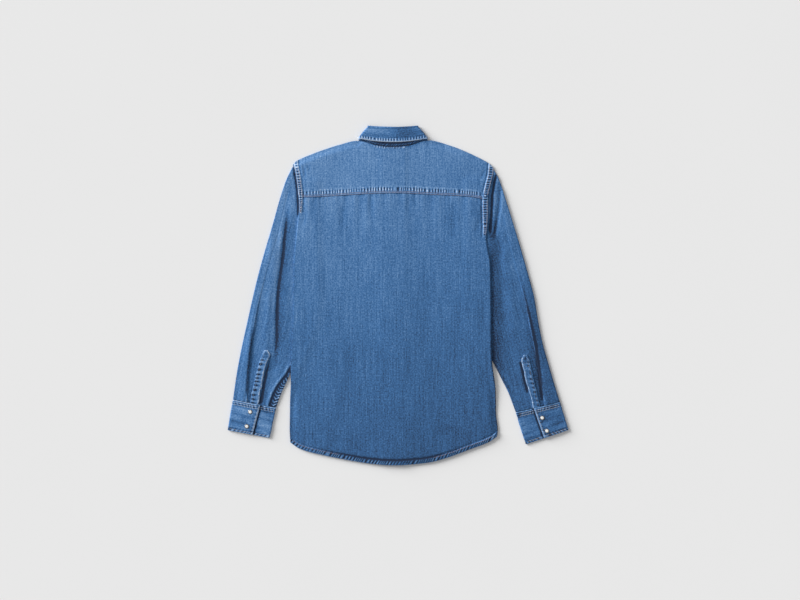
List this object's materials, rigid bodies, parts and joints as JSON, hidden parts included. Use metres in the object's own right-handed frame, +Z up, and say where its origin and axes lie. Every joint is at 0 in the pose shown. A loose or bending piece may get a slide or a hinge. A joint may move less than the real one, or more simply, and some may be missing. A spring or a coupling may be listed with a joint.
{
  "type": "denim shirt laid flat",
  "caption": "Long-sleeved denim shirt with a collar, back yoke, curved hem and snap cuffs, fastened and laid flat on its front.",
  "frame": {"origin": "centre of the shirt's box, on the surface that it lies on", "axes": "+Z up from the surface, +Y from the hem to the collar, +X from the wearer's left to the wearer's right"},
  "size_m": [0.8002, 0.7972, 0.0088],
  "materials": {
    "denim": "mid-blue washed denim twill",
    "denim_worn": "the same denim, paler along its seams",
    "snap_pearl": "white pearl snap cap",
    "snap_metal": "nickel-plated snap rim"
  },
  "bodies": {
    "root": {"back_panel": "denim", "back_yoke": "denim", "front_left": "denim", "front_right": "denim", "band_left": "denim", "band_right": "denim", "sleeve_left": "denim", "sleeve_right": "denim", "cuff_left": "denim", "cuff_right": "denim", "collar_stand": "denim", "collar_fall": "denim", "sleeve_placket_left": "denim_worn", "sleeve_placket_right": "denim_worn", "snap_cuff_left_1": "snap_pearl", "snap_cuff_left_2": "snap_pearl", "snap_cuff_right_1": "snap_pearl", "snap_cuff_right_2": "snap_pearl", "snap_cuff_left_1_rim": "snap_metal", "snap_cuff_left_2_rim": "snap_metal", "snap_cuff_right_1_rim": "snap_metal", "snap_cuff_right_2_rim": "snap_metal", "snap_front_1": "snap_pearl", "snap_front_2": "snap_pearl", "snap_front_3": "snap_pearl", "snap_front_4": "snap_pearl", "snap_front_5": "snap_pearl", "snap_front_6": "snap_pearl", "snap_neck": "snap_pearl"}
  },
  "joints": []
}
